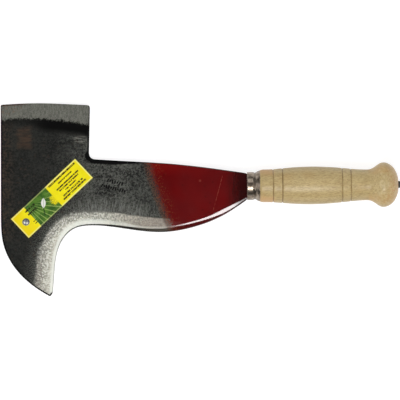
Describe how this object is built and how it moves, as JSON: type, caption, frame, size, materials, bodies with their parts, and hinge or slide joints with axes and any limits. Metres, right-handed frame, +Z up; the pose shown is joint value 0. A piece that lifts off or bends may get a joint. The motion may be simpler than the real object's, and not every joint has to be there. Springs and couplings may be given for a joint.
{
  "type": "billhook",
  "caption": "Hand billhook: a flat forged blade with a hooked front edge, a straight axe edge on its back and a turned wooden handle on a through tang.",
  "frame": {"origin": "middle of the tool's footprint on the level surface that it lies on, label side up", "axes": "+X from the blade's far end towards the butt of the handle, +Y from the hook towards the axe edge, +Z up, square to that surface. The tool lies on the blade's far end and the swell of its grip, so its handle axis rises 3.23 degrees towards +X"},
  "size_m": [0.3998, 0.193, 0.0458],
  "materials": {
    "blade_steel": "forge-dark and oiled, with bright ground edges and red lacquer on the neck",
    "ferrule_steel": "pressed and lightly polished, a little stained",
    "beech": "turned and sanded, thin clear coat",
    "washer_steel": "dull, hammered",
    "label_paper": "glossy printed paper"
  },
  "bodies": {
    "root": {"blade": "blade_steel", "ferrule": "ferrule_steel", "handle": "beech", "tang_washer": "washer_steel", "label": "label_paper"}
  },
  "joints": []
}
